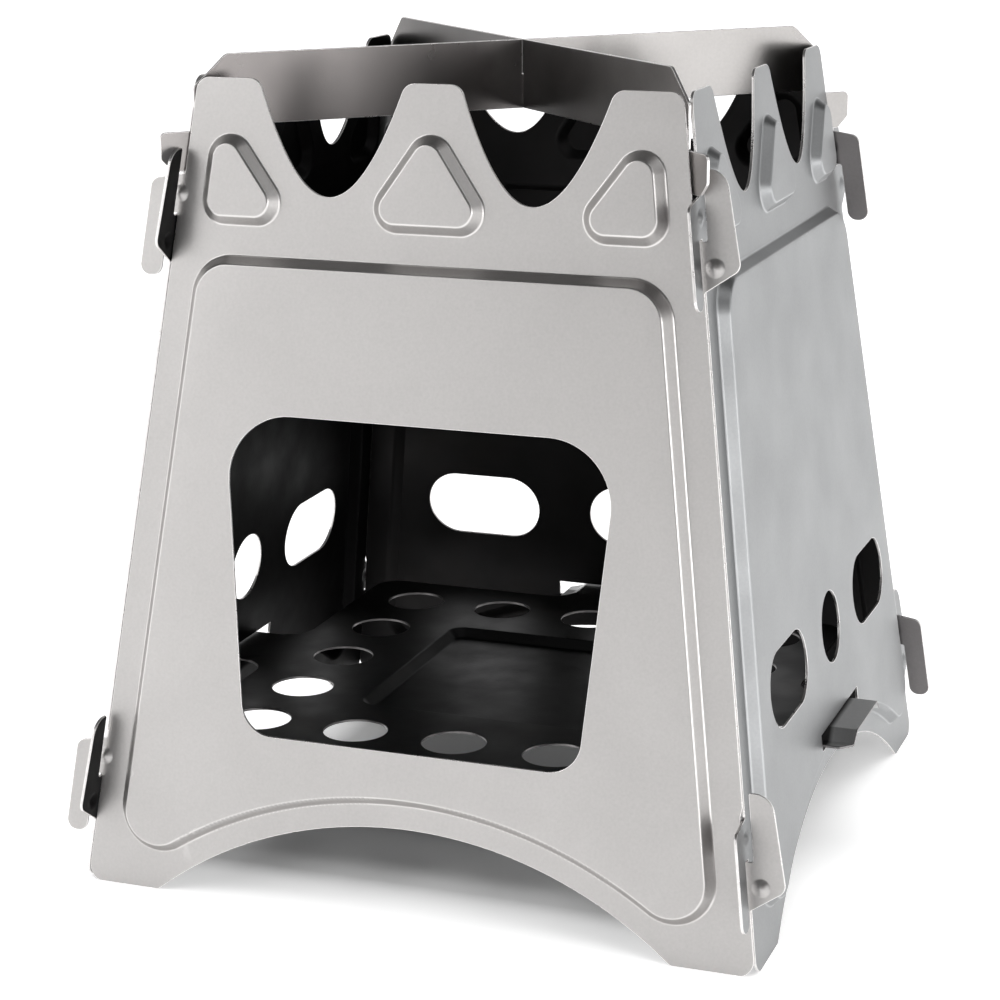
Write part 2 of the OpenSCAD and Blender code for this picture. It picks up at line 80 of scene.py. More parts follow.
WINDOW_TOP_Z, WINDOW_LOW_Z = 103.8, 37.0
WINDOW_TOP_W, WINDOW_LOW_W = 85.4, 73.6
WINDOW_TOP_R, WINDOW_LOW_R = 13.5, 7.0
VENT_Z, VENT_LEN, VENT_W, VENT_X, VENT_D = 49.8, 30.0, 16.0, 36.8, 15.8

LOW_CROSS_Z, HIGH_CROSS_Z, LEG_GAP = 23.3, 143.3, 1.25
UP_EAR_REACH, UP_EAR_TIP_REACH, UP_EAR_TIP = 7.5, 6.0, 13.6
UP_EAR_LOW, UP_EAR_ROOT, UP_EAR_TIP_R, EDGE_STEP = 5.2, 10.0, 4.2, 2.0
DOWN_EAR_REACH, DOWN_EAR_TOP, DOWN_EAR_ROOT, DOWN_EAR_TIP = 6.2, 7.0, 8.2, 12.9
EAR_R = 2.2
DIMPLE_R, DIMPLE_RISE = 1.9, 0.7
UP_DIMPLE_OUT, UP_DIMPLE_DROP, DOWN_DIMPLE_IN, DOWN_DIMPLE_LIFT = 2.4, 5.1, 0.7, 4.2

BASE_TOP_Z, BASE_GAP, BASE_R = 30.2, 9.5, 6.0
HOLE_D, HOLE_INSET, HOLES_PER_SIDE = 14.0, 15.0, 5
DISH_DEPTH, DISH_SLOPE, DISH_GAP, DISH_R = 2.0, 2.0, 9.5, 4.0
TAB_CROWN_W, TAB_W, TAB_DROP, TAB_SLOPE = 20.0, 31.0, 2.3, 3.0
TAB_REACH, TAB_CHAMFER, TAB_FILLET, TAB_NICK_R, SLOT_SIDE = 5.8, 2.5, 7.5, 0.3, 1.5

REST_H, CROSS_DEPTH, TONGUE_REACH, TONGUE_TOP_Z = 175.5, 14.8, 4.0, 160.0
TONGUE_CHAMFER, TONGUE_R, LEG_BACK, LEG_R = 2.6, 1.2, 5.5, 3.0
END_SLOPE_RUN, END_SLOPE_DROP, END_R = 7.2, 6.6, 2.5

SHEET_RUN = SHEET / math.cos(LEAN)
EDGE_LAP = SIDE_CLEAR
EDGE_BEHIND = SHEET_RUN + SIDE_CLEAR
EDGE_BACK = SHEET_RUN + (SHEET / 2 + SIDE_CLEAR) * math.sqrt(2)
print("A wall's edge lies %.2f mm inside the corner on the right, %.2f mm on the left"
      " and %.2f mm at the crown" % (EDGE_LAP, EDGE_BEHIND, EDGE_BACK))


def half_at(z):
    """Half the distance between opposite walls at height z."""
    return FOOT_HALF - z * math.tan(LEAN)


def up_wall(z, out=0.0):
    """How far up the leaning sheet height z lies, on its face or on a raised one."""
    return (z - out * math.sin(LEAN)) / math.cos(LEAN)


# %% [markdown]
# ## Cutting outlines
#
# A laser or a punch follows a closed line with rounded corners. The line is
# written as a few corners, each with its radius, which are then exchanged for
# points on their arcs. Long straight sides are divided too, because a pressed
# sheet bends between its points and needs enough of them.

# %% Rounded outlines
ARC_STEP = math.radians(6)
EDGE_GAP, CUT_GAP = 1.5, 0.8
BLOCK, SMALL_BLOCK = 2000, 400


def unit(v):
    """The vector v, or each row of v, at length one."""
    return v / np.linalg.norm(v, axis=-1, keepdims=True)


def angle_of(v):
    """The angle of a vector from the x axis."""
    return math.atan2(v[1], v[0])


def on_circle(turn):
    """Points of the unit circle at these angles."""
    return np.stack([np.cos(turn), np.sin(turn)], -1)


def is_left(way, v):
    """True where v points to the left of a direction, or along it."""
    return way[..., 0] * v[..., 1] >= way[..., 1] * v[..., 0]


def fillet(before, corner, after, radius):
    """The arc that rounds a corner. It touches both sides at radius / tan(half the
    corner's angle), and its centre is radius / sin(half angle) up the bisector."""
    p, q = unit(before - corner), unit(after - corner)
    half = math.acos(np.clip(p @ q, -1, 1)) / 2
    centre = corner + unit(p + q) * radius / math.sin(half)
    start = corner + p * radius / math.tan(half) - centre
    sweep = math.pi - 2 * half
    way = -1 if is_left(p, q) else 1
    count = max(2, math.ceil(sweep / ARC_STEP) + 1)
    return centre + radius * on_circle(angle_of(start) + way * np.linspace(0, sweep, count))


def rounded(corners):
    """A closed outline from corners (x, y, radius), anticlockwise."""
    c = np.array(corners, float)
    xy, n = c[:, :2], len(c)
    return np.concatenate([
        fillet(xy[i - 1], xy[i], xy[(i + 1) % n], c[i, 2]) if c[i, 2] > 0 else xy[i:i + 1]
        for i in range(n)
    ])


print("A square corner is cut in", math.ceil(math.pi / 2 / ARC_STEP) + 1, "points")

# %% Points along an outline, and what lies inside it
def divided(loop, gap):
    """The same outline with each side cut into equal parts no longer than gap."""
    side = np.roll(loop, -1, 0) - loop
    count = np.maximum(1, np.ceil(np.linalg.norm(side, axis=1) / gap)).astype(int)
    first = np.repeat(np.cumsum(count) - count, count)
    share = (np.arange(count.sum()) - first) / np.repeat(count, count)
    return np.repeat(loop, count, 0) + share[:, None] * np.repeat(side, count, 0)


def into_metal(loop):
    """Unit direction from each point of an outline into the metal on its left: the
    mean of the left-hand normals of the two sides that meet there."""
    side = unit(np.roll(loop, -1, 0) - loop)
    both = side + np.roll(side, 1, 0)
    return unit(np.stack([-both[:, 1], both[:, 0]], -1))


def inside(points, loop):
    """True where a line to the right of a point crosses the loop an odd number of
    times. The points are taken in blocks, to save memory."""
    a, b = loop, np.roll(loop, -1, 0)
    odd = np.zeros(len(points), bool)
    for start in range(0, len(points), BLOCK):
        x, y = (points[start:start + BLOCK, None, k] for k in (0, 1))
        spans = (a[:, 1] > y) != (b[:, 1] > y)
        rise = np.where(a[:, 1] == b[:, 1], 1.0, b[:, 1] - a[:, 1])
        cross = a[:, 0] + (y - a[:, 1]) * (b[:, 0] - a[:, 0]) / rise
        odd[start:start + BLOCK] = (spans & (x < cross)).sum(1) % 2 == 1
    return odd


def in_metal(points, loops):
    """True inside the first outline and outside the others, which are holes."""
    kept = inside(points, loops[0])
    for hole in loops[1:]:
        kept &= ~inside(points, hole)
    return kept


# %% [markdown]
# ## Pressing forms
#
# The field, the triangles and the dish are pressed between two dies. The sheet
# climbs a straight slope with a small bend at its foot and at its shoulder. The
# bends catch the light as thin lines. Their colour is also painted brighter,
# partly because handling rubs them and partly as a painted highlight, and their
# roughness is lowered. How far the sheet is pushed out only depends on the
# distance in from the form's outline, so one function serves every form.

# %% The pressed slope
BEND = 0.6


def pressed(inset, rise, slope, bend=BEND):
    """Height of a pressed sheet at a distance in from the form's outline. The
    steepness grows evenly over one bend, stays, and falls evenly over the other, so
    the height is a parabola, a straight line and a parabola."""
    x = np.clip(inset + bend / 2, 0, slope + bend)
    foot = np.minimum(x, bend) ** 2 / (2 * bend)
    line = np.clip(x - bend, 0, slope - bend)
    top = np.clip(x - slope, 0, bend)
    return (foot + line + top - top ** 2 / (2 * bend)) * rise / slope


def on_bends(inset, slope, bend=BEND):
    """1 along the middle of each bend of a slope, falling evenly to 0 at its sides."""
    return sum(np.maximum(1 - 2 * np.abs(inset - middle) / bend, 0) for middle in (0, slope))


print("Half a millimetre in, the field stands out %.2f mm" % pressed(0.5, FIELD_RISE, FIELD_SLOPE))

# %% The distance in from a form's outline
def segment_distance(points, a, b):
    """Distance of each point from the straight line between a and b."""
    along = np.clip(((points - a) @ (b - a)) / ((b - a) @ (b - a)), 0, 1)
    return np.linalg.norm(points - a - along[:, None] * (b - a), axis=1)


def inset_from(points, centres, radius, hollow=None):
    """Distance in from a form whose corners are arcs of that radius round centres
    (anticlockwise). hollow is (centre, radius) of an arc that bites into the side
    from the last centre to the first. It is radius less the distance from the shape
    that the centres span."""
    centres = np.array(centres, float)
    ahead = np.roll(centres, -1, 0)
    within = np.ones(len(points), bool)
    distance = np.full(len(points), np.inf)
    for k, (a, b) in enumerate(zip(centres, ahead)):
        within &= is_left(b - a, points - a)
        if hollow is None or k < len(centres) - 1:
            distance = np.minimum(distance, segment_distance(points, a, b))
    if hollow is not None:
        middle, reach = hollow[0], hollow[1] + radius
        away = points - np.array(middle)
        from_middle = np.linalg.norm(away, axis=1)
        in_turn = is_left(centres[0] - middle, away) & is_left(away, centres[-1] - middle)
        on_arc = np.where(in_turn, np.abs(from_middle - reach), np.inf)
        distance = np.minimum(distance, on_arc)
        within &= from_middle >= reach
    return radius + np.where(within, distance, -distance)


# %% Lines of points along a form
def contour_rings(centres, radius, insets, hollow=None, gap=EDGE_GAP):
    """Lines that follow a form's outline at several distances in from it: arcs round
    the centres, joined by straight sides. The result is one array of points."""
    centres = np.array(centres, float)
    n, rings = len(centres), []
    for inset in insets:
        parts = []
        for k in range(n):
            back, here, ahead = centres[k - 1], centres[k], centres[(k + 1) % n]
            enter, leave = here - back, ahead - here
            first = math.atan2(-enter[0], enter[1])
            last = math.atan2(-leave[0], leave[1])
            if hollow is not None and k == 0:
                first = angle_of(here - hollow[0]) - math.pi
            if hollow is not None and k == n - 1:
                last = angle_of(here - hollow[0])
            sweep = (last - first) % (2 * math.pi)
            turn = first + np.linspace(0, sweep, math.ceil(sweep / ARC_STEP) + 1)
            parts.append(here + (radius - inset) * on_circle(turn))
        if hollow is not None:
            middle, reach = np.array(hollow[0]), hollow[1] + inset
            a, b = angle_of(centres[-1] - middle), angle_of(centres[0] - middle)
            turn = np.linspace(a, b, math.ceil(abs(a - b) * reach / gap))[1:-1]
            parts.append(middle + reach * on_circle(turn))
        rings.append(divided(np.concatenate(parts), gap))
    return np.concatenate(rings)


# %% [markdown]
# ## From outline to sheet
#
# A plate is a closed skin: an outer face, an inner face one sheet thickness
# behind it, and a narrow rim round every cut edge. The faces are a net of points
# that is triangulated inside the outlines, fine on the pressed slopes and wide on
# the flats. The rim is a small profile with rounded arrises, carried along each
# outline. Normals are worked out from the height function, so that the shading
# is as smooth as the pressed metal.

# %% The rim's profile, and points on the outer face
ARRIS = 0.14
RIM_TURNS = np.radians([30, 60, 90])
OUTER, INNER, RIM = 0, 1, 2
NET_GAP, ROW_SHARE = 4.0, 0.866
FINE_CLEAR, FLAT_CLEAR = 0.35, 1.8
PROBE = 0.02
SAME_POINT = 1e-7


def rim_profile():
    """Points (out, down) and their normals, from the outer face round to the inner
    one: a quarter circle of the arris radius at each end and a straight side."""
    out = np.sin(RIM_TURNS) * ARRIS - ARRIS
    down = ARRIS - np.cos(RIM_TURNS) * ARRIS
    first = np.stack([out, down, np.sin(RIM_TURNS), np.cos(RIM_TURNS)], -1)
    last = (first * [1, -1, 1, -1])[::-1] + [0, SHEET, 0, 0]
    return np.concatenate([first, last])


def nearest(points, others):
    """Distance from each point to the nearest of the others, in blocks."""
    return np.concatenate([
        np.sqrt(((block[:, None] - others[None]) ** 2).sum(-1).min(1))
        for block in np.array_split(points, max(1, len(points) // SMALL_BLOCK))
    ])


def lifted(points, height):
    """Points of the sheet's outer face and its unit normals. The normal leans
    against the slope, which is measured over a short step to each side."""
    tilt = [(height(points - np.array(d)) - height(points + np.array(d))) / (2 * PROBE)
            for d in ((PROBE, 0), (0, PROBE))]
    normals = unit(np.stack([*tilt, np.ones(len(points))], -1))
    return np.column_stack([points, height(points)]), normals


print("Rows of points round a rim:", len(rim_profile()))

# %% The net of a flat sheet
def flat_net(loops, lips, starts, extra):
    """The net in the sheet's plane: its points, the place of each lip's points among
    them, and its triangles, anticlockwise, only where there is metal."""
    cuts, lip = np.concatenate(loops), np.concatenate(lips)
    low, high = lip.min(0), lip.max(0)
    rows = np.arange(low[1], high[1], NET_GAP * ROW_SHARE)
    grid = np.stack(np.meshgrid(np.arange(low[0], high[0], NET_GAP), rows), -1)
    grid[1::2, :, 0] += NET_GAP / 2
    fine = np.concatenate([np.zeros((0, 2)), *extra])
    fine = fine[in_metal(fine, lips)]
    fine = fine[nearest(fine, cuts) > FINE_CLEAR]
    coarse = grid.reshape(-1, 2)
    coarse = coarse[nearest(coarse, np.concatenate([cuts, fine])) > FLAT_CLEAR]
    net = np.concatenate([lip, fine, coarse])
    edges = [(start + i, start + (i + 1) % len(x)) for start, x in zip(starts, lips) for i in range(len(x))]
    found = delaunay_2d_cdt([Vector(p) for p in net], edges, [], 0, SAME_POINT)
    if len(found[0]) != len(net):
        raise ValueError("the outlines of a sheet cross each other")
    flat = np.array([tuple(p) for p in found[0]])
    where = np.empty(len(net), int)
    where[[o[0] for o in found[3]]] = np.arange(len(net))
    triangles = np.array(found[2])
    triangles = triangles[in_metal(flat[triangles].mean(1), lips)]
    a, b, c = (flat[triangles[:, k]] for k in range(3))
    wrong = ~is_left(b - a, c - a)
    triangles[wrong] = triangles[wrong][:, ::-1]
    return flat, where, triangles


# %% Faces and rim
def press_sheet(loops, height, bends, extra=()):
    """A sheet's skin from its outlines: points, normals, triangles, the finish of
    each triangle and, for each point, how strongly it is smoothed and painted
    brighter, partly as rubbing and partly as a painted highlight. loops[0] runs
    anticlockwise and the holes clockwise, so the metal is always on the left. bends
    says how near a place is to a bend. extra holds the points that follow pressed
    slopes."""
    lips = [loop + ARRIS * into_metal(loop) for loop in loops]
    starts = np.cumsum([0, *[len(x) for x in lips[:-1]]])
    flat, where, triangles = flat_net(loops, lips, starts, extra)
    top, top_normals = lifted(flat, height)
    n = len(flat)
    points = [top, top - SHEET * top_normals]
    normals = [top_normals, -top_normals]
    faces = [triangles, triangles[:, ::-1] + n]
    finish = [np.full(len(triangles), OUTER), np.full(len(triangles), INNER)]
    profile, total = rim_profile(), 2 * n
    for loop, start in zip(loops, starts):
        m = len(loop)
        edge, edge_normal = lifted(loop, height)
        reach, _ = lifted(loop - PROBE / 2 * into_metal(loop), height)
        side = unit(reach - edge)
        points += [edge + out * side - down * edge_normal for out, down, _, _ in profile]
        normals += [s * side + t * edge_normal for _, _, s, t in profile]
        first = where[start + np.arange(m)]
        grid = np.stack([first, *[total + k * m + np.arange(m) for k in range(len(profile))],
                         first + n])
        total += m * len(profile)
        a, d = grid[:-1], np.roll(grid, -1, 1)[:-1]
        b, c = grid[1:], np.roll(grid, -1, 1)[1:]
        quads = np.stack([a, b, c, d], -1).reshape(-1, 4)
        faces += [quads[:, :3], quads[:, [0, 2, 3]]]
        finish.append(np.full(2 * len(quads), RIM))
    rub_and_highlight = np.zeros(total)
    rub_and_highlight[:2 * n] = np.tile(bends(flat), 2)
    return (np.concatenate(points), np.concatenate(normals), np.concatenate(faces),
            np.concatenate(finish), rub_and_highlight)


# %% A mesh from the arrays
def put_in_blender(name, points, normals, triangles, finish, rub_and_highlight):
    """A mesh object at the origin with these points, in millimetres, and normals. Its
    attribute tells the material where the metal is smoothed and painted brighter,
    partly as rubbing and partly as a painted highlight."""
    mesh = bpy.data.meshes.new(name)
    mesh.vertices.add(len(points))
    mesh.vertices.foreach_set("co", (points * MM).astype(np.float32).ravel())
    mesh.loops.add(3 * len(triangles))
    mesh.loops.foreach_set("vertex_index", triangles.astype(np.int32).ravel())
    mesh.polygons.add(len(triangles))
    mesh.polygons.foreach_set("loop_start", np.arange(0, 3 * len(triangles), 3, np.int32))
    mesh.polygons.foreach_set("material_index", finish.astype(np.int32))
    mesh.update(calc_edges=True)
    mesh.validate()
    mesh.polygons.foreach_set("use_smooth", np.ones(len(mesh.polygons), bool))
    mesh.normals_split_custom_set_from_vertices(normals.tolist())
    mesh.attributes.new("rub_and_highlight", "FLOAT", "POINT").data.foreach_set("value", rub_and_highlight.astype(np.float32))
    piece = bpy.data.objects.new(name, mesh)
    bpy.context.scene.collection.objects.link(piece)
    edges = np.sort(np.concatenate([triangles[:, pair] for pair in ([0, 1], [1, 2], [2, 0])]), 1)
    _, uses = np.unique(edges, axis=0, return_counts=True)
    print(name, len(triangles), "triangles, open edges:", int((uses != 2).sum()))
    return piece


# %% [markdown]
# ## The walls
#
# All four walls share one outline. Its left edge has ears that hook down and its
# right edge has ears that hook up, so each wall locks into the next all the way
# round. Ears, notches and feet are corners with radii, listed once going up the
# right side, and mirrored where the left side is alike.

# %% Corners and crown of a wall
FOOT_SPARE = SHEET / 2
ARCH_CENTRE = ARCH_H - ARCH_R
NOTCH_STEPS, NOTCH_SHARE, ARCH_STEPS = 20, 0.95, 48


def past(out, z, r=0.0):
    """A corner point near a wall's side, out past the corner line at height z."""
    return [half_at(z) + out, up_wall(z), r]


def mirrored(corners):
    """The corners flipped to the other side, in the order that goes on round."""
    return [[-x, y, r] for x, y, r in corners[::-1]]


def right_crown():
    """The crown from the right side to the middle: the notch is a parabola, its
    depth falling with the square of the distance from its middle."""
    top = up_wall(CROWN_H)
    outer, inner = half_at(CROWN_H) - EDGE_BACK - OUTER_PRONG_W, MID_PRONG_W / 2
    share = np.linspace(NOTCH_SHARE, -NOTCH_SHARE, 2 * NOTCH_STEPS + 1)
    notch = np.stack([(outer + inner + share * (outer - inner)) / 2,
                      top - NOTCH_DEPTH * (1 - share ** 2), 0 * share], -1)
    return [past(-EDGE_BACK, CROWN_H, PRONG_R), [outer, top, PRONG_R],
            *notch.tolist(), [inner, top, PRONG_R]]


# %% The hooked ears
def up_ear(cross, above):
    """Corners of the right side's hook-up ear, from its root up. The right edge laps
    over the neighbour below the ear and is set back above it."""
    return [past(-EDGE_LAP, cross - UP_EAR_ROOT, NICK_R),
            past(UP_EAR_REACH, cross - UP_EAR_LOW, EAR_R),
            past(UP_EAR_TIP_REACH, cross + UP_EAR_TIP, UP_EAR_TIP_R),
            past(LEG_GAP, cross + UP_EAR_TIP, NICK_R),
            past(LEG_GAP, cross - SEAT_GAP / 2, NICK_R),
            past(-above, cross - SEAT_GAP / 2, NICK_R / 2)]


def step_out(cross):
    """Where the right edge comes out again above the neighbour's ear."""
    clear = cross + DOWN_EAR_ROOT + SEAT_GAP
    return [past(-EDGE_BEHIND, clear, NICK_R), past(-EDGE_LAP, clear + EDGE_STEP, NICK_R)]


def down_ear(cross, above):
    """Corners of the hook-down ear, as if it were on the right side."""
    return [past(-EDGE_BEHIND, cross + SEAT_GAP / 2, NICK_R / 2),
            past(LEG_GAP, cross + SEAT_GAP / 2, NICK_R),
            past(LEG_GAP, cross - DOWN_EAR_TIP, EAR_R),
            past(DOWN_EAR_REACH, cross - DOWN_EAR_TIP, EAR_R),
            past(DOWN_EAR_REACH, cross + DOWN_EAR_TOP, EAR_R),
            past(-above, cross + DOWN_EAR_ROOT, NICK_R)]


# %% Arch and whole outline
def arch_points():
    """Points of the arch between the feet, from left to right, on one circle."""
    limit = math.acos((TOE_R - ARCH_CENTRE) / ARCH_R)
    turn = np.linspace(-limit, limit, ARCH_STEPS)
    return np.stack([ARCH_R * np.sin(turn), ARCH_CENTRE + ARCH_R * np.cos(turn), 0 * turn], -1)


def wall_outline():
    """The whole cut edge of a wall, anticlockwise from the right toe."""
    heel = math.sqrt(ARCH_R ** 2 - (FOOT_SPARE + ARCH_CENTRE) ** 2)
    toe = half_at(-FOOT_SPARE)
    return rounded([[toe - EDGE_LAP, -FOOT_SPARE, TOE_R], *up_ear(LOW_CROSS_Z, EDGE_BEHIND),
                    *step_out(LOW_CROSS_Z), *up_ear(HIGH_CROSS_Z, EDGE_BACK), *right_crown(),
                    *mirrored(right_crown()), *mirrored(down_ear(HIGH_CROSS_Z, EDGE_BACK)),
                    *mirrored(down_ear(LOW_CROSS_Z, EDGE_BEHIND)),
                    [EDGE_BEHIND - toe, -FOOT_SPARE, TOE_R], [-heel, -FOOT_SPARE, HEEL_R],
                    *arch_points().tolist(), [heel, -FOOT_SPARE, HEEL_R]])


print("A wall is cut along", len(wall_outline()), "points")

# %% [markdown]
# ## The forms pressed into a wall
#
# A large field stiffens the wall. Its lower edge runs round the arch, so its
# outline has one hollow side. Three triangles stiffen the crown, and four tiny
# domes in the ears keep the walls from sliding apart. The centres of the rounded
# corners are found from the margins to the wall's edges.

# %% Field, triangles and dimples
EDGE_LEAN = math.atan(math.sin(LEAN))
FIELD_ARCH_R = ARCH_R + FIELD_OVER_ARCH
FIELD_GAP = 2.0
DIMPLE_SHARES = np.array([0.3, 0.6, 0.8, 0.95, 1.1])


def field_centres():
    """Centres of the field's corners, anticlockwise from the lower right one, which
    touches both the side's margin line and the circle round the arch."""
    side = FOOT_HALF - FIELD_MARGIN - FIELD_R / math.cos(EDGE_LEAN)
    fall, far = math.sin(LEAN), FIELD_ARCH_R + FIELD_R
    total = side * fall + ARCH_CENTRE
    low = (total + math.sqrt(total ** 2 - (1 + fall ** 2) * (side ** 2 + ARCH_CENTRE ** 2
                                                             - far ** 2))) / (1 + fall ** 2)
    top = up_wall(FIELD_TOP) - FIELD_R
    right = [(side - fall * low, low), (side - fall * top, top)]
    return right + [(-x, y) for x, y in right[::-1]]


def side_tri(z, inward=0.0):
    """Centre of an outer triangle's corner, set in from the wall's side."""
    return half_at(z) - SIDE_TRI_MARGIN - TRI_R - inward, up_wall(z)


FIELD = field_centres()
HOLLOW = ((0.0, ARCH_CENTRE), FIELD_ARCH_R)
MIDDLE_TRIANGLE = [(-MID_TRI_BASE / 2, up_wall(TRI_LOW_Z)), (MID_TRI_BASE / 2, up_wall(TRI_LOW_Z)),
                   (0.0, up_wall(MID_TRI_TOP_Z))]
RIGHT_TRIANGLE = [side_tri(TRI_LOW_Z, SIDE_TRI_BASE), side_tri(TRI_LOW_Z), side_tri(SIDE_TRI_TOP_Z)]
LEFT_TRIANGLE = [(-x, y) for x, y in (RIGHT_TRIANGLE[1], RIGHT_TRIANGLE[0], RIGHT_TRIANGLE[2])]
TRIANGLES = [MIDDLE_TRIANGLE, RIGHT_TRIANGLE, LEFT_TRIANGLE]
DIMPLES = []
for cross in (LOW_CROSS_Z, HIGH_CROSS_Z):
    x, y, _ = past(UP_DIMPLE_OUT, cross - UP_DIMPLE_DROP)
    u, v, _ = past(-DOWN_DIMPLE_IN, cross + DOWN_DIMPLE_LIFT)
    DIMPLES += [(x, y), (-u, v)]


# %% The height and the net of a wall's face
def wall_height(points):
    """How far a wall's outer face is pushed out at each point: the field, the
    triangles and the dimples, added up, because they lie apart."""
    lift = pressed(inset_from(points, FIELD, FIELD_R, HOLLOW), FIELD_RISE, FIELD_SLOPE)
    for triangle in TRIANGLES:
        lift = lift + pressed(inset_from(points, triangle, TRI_R), TRI_RISE, TRI_SLOPE)
    for centre in DIMPLES:
        far = ((points - np.array(centre)) ** 2).sum(1) / DIMPLE_R ** 2
        lift = lift + DIMPLE_RISE * np.maximum(1 - far, 0) ** 1.5
    return lift


def wall_bends(points):
    """How near each point is to a bend of the field or of a triangle."""
    near = on_bends(inset_from(points, FIELD, FIELD_R, HOLLOW), FIELD_SLOPE)
    return near + sum(on_bends(inset_from(points, triangle, TRI_R), TRI_SLOPE) for triangle in TRIANGLES)


def slope_insets(slope):
    """Distances in from an outline at which the slope and its bends are drawn."""
    bend = np.linspace(-BEND / 2, BEND / 2, 5)
    return np.concatenate([bend, [slope / 2], slope + bend])


def spot_rings(centre, radii, count=20):
    """Rings of points round a centre, and the centre itself."""
    ring = on_circle(np.arange(count) * 2 * math.pi / count)
    return np.concatenate([[centre], *[np.array(centre) + r * ring for r in radii]])


WALL_NET = [contour_rings(FIELD, FIELD_R, slope_insets(FIELD_SLOPE), HOLLOW, FIELD_GAP)]
WALL_NET += [contour_rings(t, TRI_R, slope_insets(TRI_SLOPE)) for t in TRIANGLES]
WALL_NET += [spot_rings(c, DIMPLE_R * DIMPLE_SHARES) for c in DIMPLES]
print("Net points on the pressed slopes of a wall:", sum(len(x) for x in WALL_NET))

# %% [markdown]
# ## Openings
#
# The front wall has the feed window. The other walls have two long vents, a
# round one and a slot for the base plate's tab. They are cut straight through the
# raised field, so their height on the wall is measured on its raised face.

# %% Window, vents and slot
VENT_END = 0.999 * VENT_W / 2
FULL_TURN = 2 * math.pi - 1e-9


def ring_of(centre, radius):
    """A full circle, anticlockwise."""
    return np.array(centre) + radius * on_circle(np.arange(0, FULL_TURN, ARC_STEP))


def window_outline():
    """The feed window, a trapezium with rounded corners."""
    low, top = up_wall(WINDOW_LOW_Z, FIELD_RISE), up_wall(WINDOW_TOP_Z, FIELD_RISE)
    right = [[WINDOW_LOW_W / 2, low, WINDOW_LOW_R], [WINDOW_TOP_W / 2, top, WINDOW_TOP_R]]
    return rounded(right + mirrored(right))


def vent_outlines():
    """Two long vents with round ends, one round vent and the tab's slot."""
    y = up_wall(VENT_Z, FIELD_RISE)
    long = np.array([[1, -1], [1, 1], [-1, 1], [-1, -1]]) * [VENT_LEN / 2, VENT_W / 2]
    vents = [rounded(np.column_stack([long + [x, y], np.full(4, VENT_END)])) for x in (-VENT_X, VENT_X)]
    half = TAB_W / 2 + SLOT_SIDE
    low = up_wall(BASE_TOP_Z - SHEET - TAB_DROP - SEAT_GAP, FIELD_RISE)
    high = up_wall(BASE_TOP_Z + SEAT_GAP, FIELD_RISE)
    right = [[half, low, SLOT_R], [half, high, SLOT_R]]
    return [*vents, ring_of((0, y), VENT_D / 2), rounded(right + mirrored(right))]


def press_wall(openings):
    """A wall's skin in its own plane, from its outline and the openings in it."""
    loops = [divided(wall_outline(), EDGE_GAP)]
    loops += [divided(hole, CUT_GAP)[::-1] for hole in openings]
    return press_sheet(loops, wall_height, wall_bends, WALL_NET)


# %% Standing the walls up
def stand(points, turn):
    """Turns rows from a wall's plane to its lean, and then about the stove."""
    u, v, n = points.T
    y, z = v * math.sin(LEAN) - n * math.cos(LEAN), v * math.cos(LEAN) + n * math.sin(LEAN)
    c, s = math.cos(turn), math.sin(turn)
    return np.stack([c * u - s * y, s * u + c * y, z], -1)


def stand_wall(name, skin, turn):
    """A wall in its place. Its feet are ground level with the table."""
    points, normals, *rest = skin
    away = np.array([math.sin(turn), -math.cos(turn), 0]) * FOOT_HALF
    placed = stand(points, turn) + away
    placed[:, 2] = np.maximum(placed[:, 2], 0)
    return put_in_blender(name, placed, stand(normals, turn), *rest)


front_sheet = stand_wall("front_wall_sheet", press_wall([window_outline()]), 0)
vented_skin = press_wall(vent_outlines())
right_sheet, back_sheet, left_sheet = (stand_wall(name + "_wall_sheet", vented_skin, k * math.pi / 2)
                                       for k, name in enumerate(("right", "back", "left"), 1))

# %% [markdown]
# ## The base plate
#
# The fire lies on this plate. Sixteen round holes let air up, and a shallow dish
# in the middle keeps it from warping. Three tabs reach out through the walls.
# Each is pressed to a hat section, with a raised crown and two lower wings, which
# makes it stiff enough to carry the plate.

# %% Outline and holes of the base plate
BASE_HALF = half_at(BASE_TOP_Z) - SHEET_RUN - BASE_GAP
RING_HALF = BASE_HALF - HOLE_INSET
DISH_HALF = RING_HALF - HOLE_D / 2 - DISH_GAP
TAB_END = (half_at(BASE_TOP_Z - SHEET - TAB_DROP - SEAT_GAP) + FIELD_RISE / math.cos(LEAN)
           + TAB_REACH)
DISH = [(x * (DISH_HALF - DISH_R), y * (DISH_HALF - DISH_R))
        for x, y in ((-1, -1), (1, -1), (1, 1), (-1, 1))]
TAB_TURNS = (0, math.pi / 2, math.pi)
TAB_ROOT_R = TAB_FILLET * 0.92
WING_START = BASE_HALF + TAB_FILLET * 0.7
TAB_NET_GAP = 1.2


def turned(points, turn):
    """Rows (x, y, ...) turned about the middle; what follows x and y stays."""
    p = np.array(points, float)
    c, s = math.cos(turn), math.sin(turn)
    return np.column_stack([c * p[:, 0] - s * p[:, 1], s * p[:, 0] + c * p[:, 1], p[:, 2:]])


def tab_corners():
    """Corners of the tab on the right, from its lower root to its upper one: a neck
    with hollow fillets, a step out to each wing, and cut-off outer corners."""
    neck, half = BASE_HALF + TAB_FILLET, TAB_W / 2
    crown = TAB_CROWN_W / 2
    upper = [[TAB_END, half - TAB_CHAMFER, NICK_R], [TAB_END - TAB_CHAMFER, half, NICK_R],
             [neck, half, NICK_R], [neck, crown, TAB_NICK_R], [BASE_HALF, crown, TAB_ROOT_R]]
    return [[x, -y, r] for x, y, r in upper[::-1]] + upper


def base_outline():
    """A rounded square with the three tabs, anticlockwise."""
    corners = []
    for k in range(4):
        turn = k * math.pi / 2
        if k < 3:
            corners += turned(tab_corners(), turn).tolist()
        corners += turned([[BASE_HALF, BASE_HALF, BASE_R]], turn).tolist()
    return rounded(corners)


